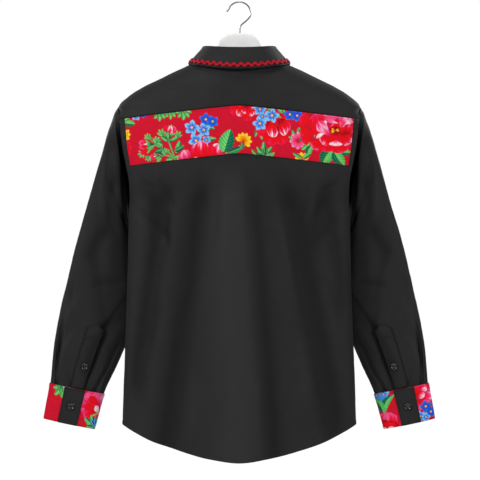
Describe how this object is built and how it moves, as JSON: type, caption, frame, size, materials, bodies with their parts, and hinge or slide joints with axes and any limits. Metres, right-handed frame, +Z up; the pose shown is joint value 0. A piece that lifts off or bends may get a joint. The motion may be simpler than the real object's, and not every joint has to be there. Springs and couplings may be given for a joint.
{
  "type": "ribbon shirt on a hanger",
  "caption": "Long-sleeved black ribbon shirt hung on a plain hanger, with a rose-print band across the back, rose-print cuffs and ric-rac on the collar.",
  "frame": {"origin": "inside of the hook's bend, where the rail carries the hanger", "axes": "+Z up, +Y out of the shirt's back, +X to the wearer's left"},
  "size_m": [0.7702, 0.1415, 0.8939],
  "materials": {
    "black_cotton": "matte woven cotton",
    "rose_print": "printed plain-weave cotton",
    "red_braid": "woven ric-rac braid",
    "button": "satin resin",
    "hanger": "smooth white plastic",
    "hook": "bright plated wire"
  },
  "bodies": {
    "root": {"back_panel": "black_cotton", "collar_fall": "black_cotton", "collar_stand": "black_cotton", "cuff_button_left": "button", "cuff_button_right": "button", "cuff_left": "rose_print", "cuff_right": "rose_print", "cuff_strip_left": "black_cotton", "cuff_strip_right": "black_cotton", "floral_band": "rose_print", "front_button_1": "button", "front_button_2": "button", "front_button_3": "button", "front_button_4": "button", "front_button_5": "button", "front_button_6": "button", "front_button_7": "button", "front_left": "black_cotton", "front_placket": "black_cotton", "front_right": "black_cotton", "hanger": "hanger", "hook": "hook", "placket_button_left": "button", "placket_button_right": "button", "ricrac_braid": "red_braid", "sleeve_left": "black_cotton", "sleeve_placket_left": "black_cotton", "sleeve_placket_right": "black_cotton", "sleeve_right": "black_cotton", "sleeve_under_left": "black_cotton", "sleeve_under_right": "black_cotton", "yoke": "black_cotton"}
  },
  "joints": []
}
